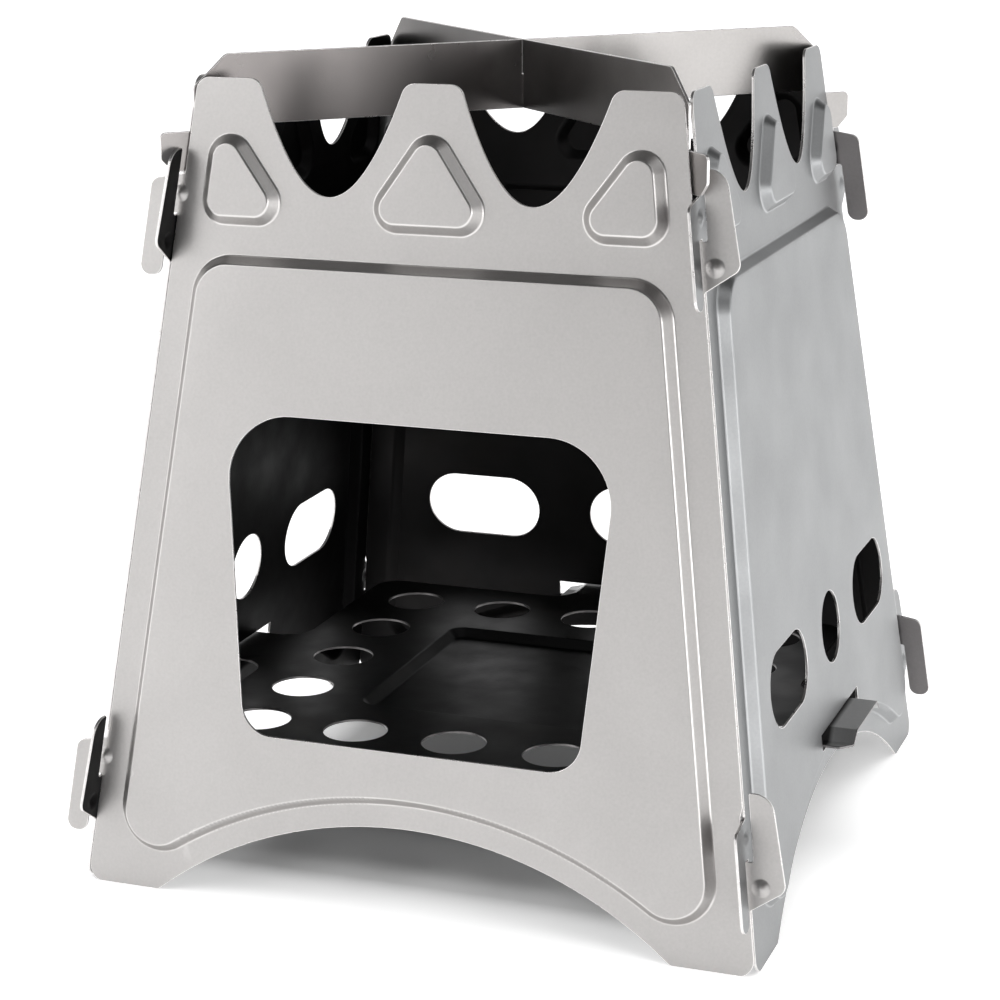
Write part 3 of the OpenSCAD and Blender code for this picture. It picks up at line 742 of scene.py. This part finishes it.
def hole_ring():
    """Centres of the air holes, each corner belonging to one side only."""
    pitch = 2 * RING_HALF / (HOLES_PER_SIDE - 1)
    side = [[-RING_HALF + i * pitch, -RING_HALF] for i in range(1, HOLES_PER_SIDE)]
    return np.concatenate([turned(side, k * math.pi / 2) for k in range(4)])


# %% Dish, tabs and net
def base_height(points):
    """The dish goes down, and each tab's wings lie below its crown."""
    lift = -pressed(inset_from(points, DISH, DISH_R), DISH_DEPTH, DISH_SLOPE)
    for turn in TAB_TURNS:
        p = turned(points, -turn)
        wing = pressed(np.abs(p[:, 1]) - TAB_CROWN_W / 2, TAB_DROP, TAB_SLOPE)
        lift = lift - np.where(p[:, 0] > WING_START, wing, 0)
    return lift


def base_bends(points):
    """How near each point is to a bend of the dish."""
    return on_bends(inset_from(points, DISH, DISH_R), DISH_SLOPE)


def tab_net(turn):
    """Lines of points along a tab, close together where its section bends."""
    out = np.arange(BASE_HALF + TAB_FILLET, TAB_END, TAB_NET_GAP)
    w = TAB_CROWN_W / 2 + slope_insets(TAB_SLOPE)
    x, y = np.meshgrid(out, np.concatenate([-w, w]))
    return turned(np.stack([x.ravel(), y.ravel()], -1), turn)


base_loops = [divided(base_outline(), EDGE_GAP)]
base_loops += [divided(ring_of(c, HOLE_D / 2), CUT_GAP)[::-1] for c in hole_ring()]
base_net = [contour_rings(DISH, DISH_R, slope_insets(DISH_SLOPE))]
base_net += [tab_net(turn) for turn in TAB_TURNS]
base_points, *base_rest = press_sheet(base_loops, base_height, base_bends, base_net)
base_sheet = put_in_blender("base_plate_sheet", base_points + [0, 0, BASE_TOP_Z], *base_rest)

# %% [markdown]
# ## The pot rest
#
# Two strips stand on edge and cross in the middle, each slotted halfway. Their
# tongues pass out through the corners of the walls and rest on the ears there.
# They are flat, so their height function is zero everywhere.

# %% Outline of a cross plate
CROSS_LOW_Z = REST_H - CROSS_DEPTH
LEG_LOW_Z = HIGH_CROSS_Z + DOWN_EAR_ROOT + SEAT_GAP
HALF_SLOT_Z = (REST_H + CROSS_LOW_Z) / 2
SLOT_HALF_W = SHEET / 2 + SIDE_CLEAR


def corner_at(z):
    """Distance of the walls' corner line from the middle, along the diagonal."""
    return half_at(z) * math.sqrt(2)


def cross_half():
    """Corners of a strip's right half, from its lower edge round to its top."""
    leg, end = corner_at(LEG_LOW_Z), corner_at(CROWN_H)
    return [[leg - LEG_BACK, CROSS_LOW_Z, LEG_R], [leg - LEG_BACK, LEG_LOW_Z, NICK_R],
            [leg + TONGUE_REACH - TONGUE_CHAMFER, LEG_LOW_Z, TONGUE_R],
            [leg + TONGUE_REACH, LEG_LOW_Z + TONGUE_CHAMFER, TONGUE_R],
            [leg + TONGUE_REACH, TONGUE_TOP_Z, TONGUE_R], [end, TONGUE_TOP_Z, NICK_R],
            [end, REST_H - END_SLOPE_DROP, END_R / 2], [end - END_SLOPE_RUN, REST_H, END_R]]


def cross_outline(from_above):
    """A strip with its half slot, cut from above or from below."""
    mouth = REST_H if from_above else CROSS_LOW_Z
    floor = HALF_SLOT_Z - (SEAT_GAP / 2 if from_above else -SEAT_GAP / 2)
    slot = [[SLOT_HALF_W, mouth, SLOT_R], [SLOT_HALF_W, floor, SLOT_R]]
    slot += mirrored(slot)
    right, left = cross_half(), mirrored(cross_half())
    return rounded(right + slot + left if from_above else right + left + slot[::-1])


def flat_strip(points):
    """The height, and the nearness to a bend, of a strip that nothing is pressed in."""
    return np.zeros(len(points))


# %% Standing the strips on edge
def cross_plate(name, from_above, turn):
    """A strip stood on edge along a diagonal of the stove."""
    loop = divided(cross_outline(from_above), EDGE_GAP)
    points, normals, *rest = press_sheet([loop], flat_strip, flat_strip)
    along = np.array([math.cos(turn), math.sin(turn), 0])
    facing = np.array([math.sin(turn), -math.cos(turn), 0])
    axes = np.stack([along, [0, 0, 1], facing])
    placed = (points + [0, 0, SHEET / 2]) @ axes
    return put_in_blender(name, placed, normals @ axes, *rest)


lower_sheet = cross_plate("lower_cross_sheet", True, math.pi / 4)
upper_sheet = cross_plate("upper_cross_sheet", False, -math.pi / 4)

# %% [markdown]
# ## The finishes
# The plates are bare titanium, bead-blasted to a satin grey. Blasting leaves a
# fine even grain, so the metal is fairly rough, with a bump of tiny pits and a
# slight cloudiness in its tone. Inside the walls, the inner faces and the base
# plate are painted near black as painted shade, and lighter where they reach out
# past the walls. The side walls are painted a darker grey than the front, as
# painted shade, and each cross plate carries a broad patch of painted shade. The
# edges are cut, smoother, and painted brighter than the faces, partly as bare
# metal and partly as a painted highlight; the base plate's edges are painted dark
# as painted shade. All patterns read the object's own coordinates, so they stay
# on the metal from every side.

# %% Helpers for the node trees
def feed(tree, socket, value):
    """Gives a socket a number, a colour or what another node puts out."""
    if isinstance(value, (int, float)):
        socket.default_value = value
    elif isinstance(value, tuple):
        socket.default_value = (*value, 1)
    else:
        tree.links.new(value, socket)


def feed_all(tree, node, **inputs):
    """Feeds inputs of a node by their names, with a low line for each space."""
    for name, value in inputs.items():
        feed(tree, node.inputs[name.replace("_", " ")], value)


def new_node(tree, kind, **inputs):
    """A shader node of this kind with some of its inputs fed."""
    node = tree.nodes.new("ShaderNode" + kind)
    feed_all(tree, node, **inputs)
    return node


def empty_tree(owner):
    """The node tree of a material or a world, with nothing in it."""
    owner.use_nodes = True
    owner.node_tree.nodes.clear()
    return owner.node_tree


def new_material(name, metallic=1.0):
    """A material, its tree and its principled shader."""
    material = bpy.data.materials.new(name)
    tree = empty_tree(material)
    shader = new_node(tree, "BsdfPrincipled", Metallic=metallic)
    new_node(tree, "OutputMaterial", Surface=shader.outputs["BSDF"])
    return material, tree, shader


def noise(tree, scale, detail=3.0):
    """A noise value from 0 to 1 on the object's coordinates, scale per metre."""
    place = new_node(tree, "TexCoord").outputs["Object"]
    return new_node(tree, "TexNoise", Scale=scale, Detail=detail, Vector=place).outputs["Fac"]


# %% Colours and numbers from a value
def ramp(tree, value, stops):
    """Colours spread over a value: stops are (position, (r, g, b))."""
    node = new_node(tree, "ValToRGB", Fac=value)
    band = node.color_ramp
    while len(band.elements) < len(stops):
        band.elements.new(0.5)
    for element, (position, colour) in zip(band.elements, stops):
        element.position, element.color = position, (*colour, 1)
    return node.outputs["Color"]


def greys(*stops):
    """Stops of a ramp from pairs (position, grey)."""
    return [(position, (grey, grey, grey)) for position, grey in stops]


def between(tree, value, low, high, start=0.3, end=0.7):
    """A number that goes from low to high while a value goes from start to end."""
    node = new_node(tree, "MapRange", Value=value, From_Min=start, From_Max=end, To_Min=low, To_Max=high)
    return node.outputs["Result"]


# %% Bumps, sums and coordinates
def bump(tree, shader, layers):
    """Stacks bumps on a shader: layers are (height value, strength, metres)."""
    normal = None
    for height, strength, distance in layers:
        node = new_node(tree, "Bump", Height=height, Strength=strength, Distance=distance)
        if normal is not None:
            feed(tree, node.inputs["Normal"], normal)
        normal = node.outputs["Normal"]
    feed(tree, shader.inputs["Normal"], normal)


def maths(tree, operation, *values):
    """The result of a math node on sockets or plain numbers."""
    node = new_node(tree, "Math")
    node.operation = operation
    for socket, value in zip(node.inputs, values):
        feed(tree, socket, value)
    return node.outputs[0]


def coordinates(tree, kind="Object"):
    """The object's own x, y and z in metres, or coordinates of another kind."""
    place = new_node(tree, "TexCoord").outputs[kind]
    axes = new_node(tree, "SeparateXYZ", Vector=place)
    return [axes.outputs[name] for name in "XYZ"]


def mixed(tree, factor, a, b, blend="MIX"):
    """Two colours blended by a factor."""
    node = new_node(tree, "Mix")
    node.data_type, node.blend_type = "RGBA", blend
    feed_all(tree, node, Factor=factor, A=a, B=b)
    return node.outputs["Result"]


# %% Inside the walls, and a patch of painted shade
CORNER_ZONE = 4.0
FADE_FROM, FADE_TO = 0.0002, 0.0012
WANDER = 0.006


def outside_walls(tree):
    """0 inside the stove and 1 outside. far and near are the larger and the smaller of
    |x| and |y|, less the half-width at that height. A point is outside past the
    pressed fields, and past the wall where it is also close to a corner."""
    x, y, z = coordinates(tree)
    across, along = maths(tree, "ABSOLUTE", x), maths(tree, "ABSOLUTE", y)
    half = maths(tree, "SUBTRACT", FOOT_HALF * MM, maths(tree, "MULTIPLY", z, math.tan(LEAN)))
    far = maths(tree, "SUBTRACT", maths(tree, "MAXIMUM", across, along), half)
    near = maths(tree, "SUBTRACT", maths(tree, "MINIMUM", across, along), half)
    past_field = maths(tree, "SUBTRACT", far, FIELD_RISE * MM)
    at_corner = maths(tree, "MINIMUM", far, maths(tree, "ADD", near, CORNER_ZONE * MM))
    return between(tree, maths(tree, "MAXIMUM", past_field, at_corner), 0.0, 1.0, FADE_FROM, FADE_TO)


def shade_patch(tree, middle_x, middle_y, near, far):
    """1 at the middle of a patch of painted shade and 0 beyond it, by the level distance from there."""
    x, y, _ = coordinates(tree)
    offsets = [maths(tree, "SUBTRACT", x, middle_x), maths(tree, "SUBTRACT", y, middle_y)]
    squares = [maths(tree, "MULTIPLY", v, v) for v in offsets]
    distance = maths(tree, "SQRT", maths(tree, "ADD", *squares))
    wander = between(tree, noise(tree, 60), -WANDER, WANDER)
    return between(tree, maths(tree, "ADD", distance, wander), 1.0, 0.0, near, far)


# %% Blasted, shade-painted and cut titanium
# How much brighter the bends' colour is painted, partly as rubbing and partly as a painted highlight, and
# how much smoother they are.
RUB_AND_HIGHLIGHT_BRIGHT, RUB_SMOOTH = 1.5, 0.14


def shade(colour, share):
    """A colour made lighter or darker by a share."""
    return tuple(min(1.0, c * share) for c in colour)


def blasted_colour(tree, colour):
    """The tone of blasted sheet: slightly cloudy, with a fine speckle."""
    clouds = ramp(tree, noise(tree, 28), [(0.3, shade(colour, 0.98)), (0.7, shade(colour, 1.02))])
    speckle = ramp(tree, noise(tree, 1700, 2), greys((0.25, 0.93), (0.75, 1.0)))
    return mixed(tree, 1.0, clouds, speckle, "MULTIPLY")


def blasted_titanium(name, colour, rough=0.42, shade_colour=None, shade_place=None):
    """Bead-blasted sheet with tiny pits. On its bends it is smoother and painted
    brighter, partly as rubbing from handling and partly as a painted highlight.
    The fourth argument is the colour of a patch of painted shade, and the fifth
    says where: x and y of the patch's middle and the distances from there where
    the shade starts and ends to fade."""
    material, tree, shader = new_material(name)
    rub_and_highlight_node = new_node(tree, "Attribute")
    rub_and_highlight_node.attribute_name = "rub_and_highlight"
    # The bends' colour is painted brighter, partly as rubbing and partly as a painted highlight.
    bend_rub_and_highlight = maths(tree, "MULTIPLY", rub_and_highlight_node.outputs["Fac"], between(tree, noise(tree, 140, 2), 0.7, 1.0))
    tone = mixed(tree, bend_rub_and_highlight, blasted_colour(tree, colour), shade(colour, RUB_AND_HIGHLIGHT_BRIGHT))
    if shade_colour:
        tone = mixed(tree, shade_patch(tree, *shade_place), tone, shade_colour)
    grain = between(tree, noise(tree, 60, 4), rough - 0.04, rough + 0.04)
    grain = maths(tree, "SUBTRACT", grain, maths(tree, "MULTIPLY", bend_rub_and_highlight, RUB_SMOOTH))
    feed_all(tree, shader, Base_Color=tone, Roughness=grain)
    bump(tree, shader, [(noise(tree, 2200, 2), 0.25, 0.00004)])
    return material


def inside_shade_titanium(name, colour, patch_tone, rough=0.5, outside=None):
    """Sheet painted near black, with random patches of a lighter tone: painted shade
    inside the stove. outside is the colour of the blasted metal where it reaches
    out of the stove."""
    material, tree, shader = new_material(name)
    tone = ramp(tree, noise(tree, 35, 4), [(0.3, colour), (0.55, shade(colour, 1.35)), (0.75, patch_tone)])
    if outside:
        tone = mixed(tree, outside_walls(tree), tone, blasted_colour(tree, outside))
    grain = between(tree, noise(tree, 90, 4), rough - 0.07, rough + 0.07)
    feed_all(tree, shader, Base_Color=tone, Roughness=grain)
    bump(tree, shader, [(noise(tree, 15, 1), 0.25, 0.0006), (noise(tree, 1500, 2), 0.3, 0.00005)])
    return material


def cut_titanium(name, colour, rough=0.3):
    """A cut edge in the given colour, with faint drag marks of the cut."""
    material, tree, shader = new_material(name)
    tone = ramp(tree, noise(tree, 900), [(0.3, shade(colour, 0.85)), (0.7, colour)])
    grain = between(tree, noise(tree, 500, 2), rough - 0.06, rough + 0.08)
    feed_all(tree, shader, Base_Color=tone, Roughness=grain)
    bump(tree, shader, [(noise(tree, 3000, 2), 0.2, 0.00003)])
    return material


# %% The stove's own finishes
front_face = blasted_titanium("front_face_titanium", (0.505, 0.491, 0.483))
# The side walls are the same blasted metal as the front, painted a darker grey as painted shade.
side_shade_face = blasted_titanium("side_face_titanium", (0.335, 0.34, 0.345))
# The inner faces and the base plate are painted near black inside the walls, as painted shade, and lighter
# where they reach out past them; the left wall's inner face is painted darker still.
inside_shade_face = inside_shade_titanium("inner_face_titanium", (0.024, 0.0232, 0.0235), (0.036, 0.0335, 0.032),
                               outside=(0.30, 0.285, 0.285))
deep_inside_shade_face = inside_shade_titanium("deep_inside_shade_titanium", (0.010, 0.0097, 0.010), (0.016, 0.015, 0.0145))
base_shade_face = inside_shade_titanium("base_plate_titanium", (0.06, 0.06, 0.061), (0.085, 0.082, 0.08), 0.43,
                              outside=(0.60, 0.60, 0.60))
# Each cross plate carries a broad patch of painted shade, darkest at its middle.
rest_face = blasted_titanium("pot_rest_titanium", (0.43, 0.415, 0.405), 0.30, (0.15, 0.14, 0.137),
                             (-0.03, -0.03, 0.03, 0.065))
upper_rest_shade_face = blasted_titanium("upper_pot_rest_shade_titanium", (0.43, 0.41, 0.40), 0.32,
                                 (0.10, 0.095, 0.093), (-0.02, 0.02, 0.03, 0.095))
# The cut edges are painted far brighter than the faces: partly the smooth cut metal, partly a painted
# highlight along the arrises.
cut_edge_highlight = cut_titanium("cut_edge_titanium", (0.86, 0.84, 0.83))
# The base plate's cut edges are painted dark, as painted shade.
shaded_cut_edge = cut_titanium("shaded_cut_edge_titanium", (0.28, 0.27, 0.27), 0.36)
print("Finishes:", *sorted(m.name for m in bpy.data.materials if m.name.endswith("_titanium")))

# %% [markdown]
# ## Dressing the pieces
#
# Each sheet takes its finishes in the order outer face, inner face and cut edge.
# It rides on the body that carries it and stands for its CAD node. The walls and
# the base plate are locked together, and each cross plate lifts by itself.

# %% Finishes, bodies and the nodes they stand for
PIECES = [
    (front_sheet, "front_wall", "root", "wall_metal", (front_face, inside_shade_face, cut_edge_highlight)),
    (right_sheet, "right_wall", "root", "side_metal", (side_shade_face, inside_shade_face, cut_edge_highlight)),
    (back_sheet, "back_wall", "root", "side_metal", (side_shade_face, inside_shade_face, cut_edge_highlight)),
    (left_sheet, "left_wall", "root", "side_metal", (side_shade_face, deep_inside_shade_face, cut_edge_highlight)),
    (base_sheet, "base_plate", "root", "base_metal", (base_shade_face, base_shade_face, shaded_cut_edge)),
    (lower_sheet, "lower_cross_plate", "lower_cross", "rest_metal", (rest_face, rest_face, cut_edge_highlight)),
    (upper_sheet, "upper_cross_plate", "upper_cross", "rest_metal",
     (upper_rest_shade_face, upper_rest_shade_face, cut_edge_highlight)),
]
for piece, node, body, metal, finishes in PIECES:
    for material in finishes:
        piece.data.materials.append(material)
    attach(piece, body)
    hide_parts(node)
    print(piece.name, "stands for", node, "on", body)

# %% [markdown]
# ## The camera
#
# The photograph was taken with a long lens from the front and a little to the
# right, looking slightly down. The camera's place and directions were found by
# fitting the corners of the walls.

# %% Camera
CAMERA_AT = Vector((0.192575, -0.533829, 0.225622))
CAMERA_RIGHT = Vector((0.937793, 0.347122, -0.007034))
CAMERA_UP = Vector((-0.084163, 0.246938, 0.965370))
CAMERA_BACK = Vector((0.336838, -0.904725, 0.260792))
LENS, SENSOR = 93.48, 36.0

camera_data = bpy.data.cameras.new("photo_camera")
camera_data.lens, camera_data.sensor_width = LENS, SENSOR
camera = bpy.data.objects.new("photo_camera", camera_data)
turn = Matrix((CAMERA_RIGHT, CAMERA_UP, CAMERA_BACK)).transposed().to_4x4()
camera.matrix_world = Matrix.Translation(CAMERA_AT) @ turn
bpy.context.scene.collection.objects.link(camera)
bpy.context.scene.camera = camera
print("Camera %.2f m from the stove" % CAMERA_AT.length)

# %% [markdown]
# ## Floor and light
#
# Satin metal shows its surroundings as a soft blur, so they matter as much as
# the lamps. The studio is white round the sides, dark where the photographer
# stands, and dark overhead, which turns the upper slopes of the forms dark. A
# tall soft lamp on the left gives the front wall its fall-off and the bends their
# bright lines. Two smaller ones on the right light the slopes that face that way,
# and the last hangs over the floor. The background reads white, because the
# camera sees the world at strength one and the floor glows, more so farther out.

# %% Studio
FLOOR_HALF, FLOOR_Z = 6.0, -0.0002
GLOW_REACH = 2.0
GLOW_STOPS = [(0.054, 0.02), (0.064, 0.44), (0.09, 0.52), (0.30, 0.50), (1.0, 0.60), (2.0, 0.90)]


def seen_rays(tree):
    """1 for rays from the camera, from gloss and through glass, otherwise 0."""
    path = new_node(tree, "LightPath")
    value = path.outputs["Is Camera Ray"]
    for other in ("Is Glossy Ray", "Is Transmission Ray"):
        value = maths(tree, "MAXIMUM", value, path.outputs[other])
    return value


def studio_floor():
    """A pale floor that shows as white, but keeps the stove's shadow. Its glow grows
    with the distance from the stove, as the lamps' light on it falls."""
    mesh = bpy.data.meshes.new("studio_floor")
    corners = [(-1, -1), (1, -1), (1, 1), (-1, 1)]
    mesh.from_pydata([(x * FLOOR_HALF, y * FLOOR_HALF, FLOOR_Z) for x, y in corners], [], [(0, 1, 2, 3)])
    floor = bpy.data.objects.new("studio_floor", mesh)
    bpy.context.scene.collection.objects.link(floor)
    material, tree, shader = new_material("studio_floor", 0.0)
    x, y, _ = coordinates(tree)
    away = maths(tree, "MAXIMUM", maths(tree, "ABSOLUTE", x), maths(tree, "ABSOLUTE", y))
    strength = ramp(tree, maths(tree, "DIVIDE", away, GLOW_REACH),
                    greys(*[(metres / GLOW_REACH, share) for metres, share in GLOW_STOPS]))
    glow = maths(tree, "MULTIPLY", seen_rays(tree), strength)
    feed_all(tree, shader, Base_Color=(0.9, 0.9, 0.9), Roughness=0.9, Specular_IOR_Level=0.0,
             Emission_Color=(1, 1, 1), Emission_Strength=glow)
    mesh.materials.append(material)
    return floor


# %% The world round the stove
GREY_TOWARD = (0.3345, -0.919, 0.208)


def studio_world():
    """Light from all round, white at the sides, dark overhead, and darker towards the
    photographer, by the share of a direction that points there. The camera sees plain
    white at strength one."""
    world = bpy.data.worlds.new("studio_world")
    bpy.context.scene.world = world
    tree = empty_tree(world)
    axes = coordinates(tree, "Generated")
    height = ramp(tree, axes[2], greys((0.0, 1.0), (0.3, 0.9), (0.7, 0.07)))
    x, y, z = (maths(tree, "MULTIPLY", axis, share) for axis, share in zip(axes, GREY_TOWARD))
    forward = maths(tree, "ADD", maths(tree, "ADD", x, y), z)
    side = ramp(tree, forward, greys((0.68, 1.0), (0.8, 0.58), (0.93, 0.12)))
    colour = mixed(tree, 1.0, height, side, "MULTIPLY")
    to_camera = new_node(tree, "LightPath").outputs["Is Camera Ray"]
    white = mixed(tree, to_camera, colour, (1.0, 1.0, 1.0))
    background = new_node(tree, "Background", Color=white, Strength=1.0)
    new_node(tree, "OutputWorld", Surface=background.outputs["Background"])


# %% Lamps
def soft_lamp(name, at, size, power, target=(0, 0, 0.09)):
    """A square area lamp at a place, aimed at the stove."""
    data = bpy.data.lights.new(name, "AREA")
    data.shape, data.size, data.size_y, data.energy = "RECTANGLE", size[0], size[1], power
    lamp = bpy.data.objects.new(name, data)
    bpy.context.scene.collection.objects.link(lamp)
    aim = (Vector(target) - Vector(at)).to_track_quat("-Z", "Y")
    lamp.matrix_world = Matrix.Translation(at) @ aim.to_matrix().to_4x4()
    lamp.visible_camera = False
    return lamp


studio_floor()
studio_world()
soft_lamp("right_softbox", (1.15, -0.70, 0.16), (0.6, 0.5), 3.0)
soft_lamp("high_softbox", (0.66, -0.10, 0.88), (0.35, 0.35), 0.55)
soft_lamp("left_softbox", (-1.30, -1.45, 0.95), (1.0, 1.4), 10.0)
floor_lamp = soft_lamp("floor_lamp", (0.0, 0.0, 2.6), (3.0, 3.0), 66.0)
floor_lamp.visible_glossy = False
print("Lamps:", len(bpy.data.lights))
bpy.context.scene.view_settings.view_transform = "Standard"
